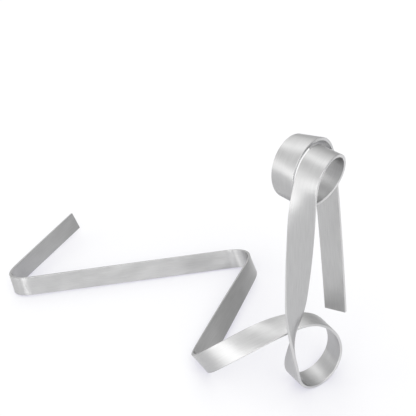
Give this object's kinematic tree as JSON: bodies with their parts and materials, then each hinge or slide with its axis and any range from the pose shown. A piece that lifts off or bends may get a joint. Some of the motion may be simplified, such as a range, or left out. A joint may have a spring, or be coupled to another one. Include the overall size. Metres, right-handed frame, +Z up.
{
  "type": "wine bottle holder",
  "caption": "Bottle holder bent from a flat metal strip: a base that zigzags over the table, an upright loop, a twisted front leg, a neck coil and a hanging end.",
  "frame": {"origin": "on the table, under the middle of the holder's box", "axes": "+X to the right as seen from the front, where the neck coil stands; +Y away from the viewer; +Z up"},
  "size_m": [0.258, 0.2052, 0.1784],
  "materials": {
    "brushed_strip": "satin, with faint brushing along the strip"
  },
  "bodies": {
    "root": {"bent_strip": "brushed_strip"}
  },
  "joints": []
}
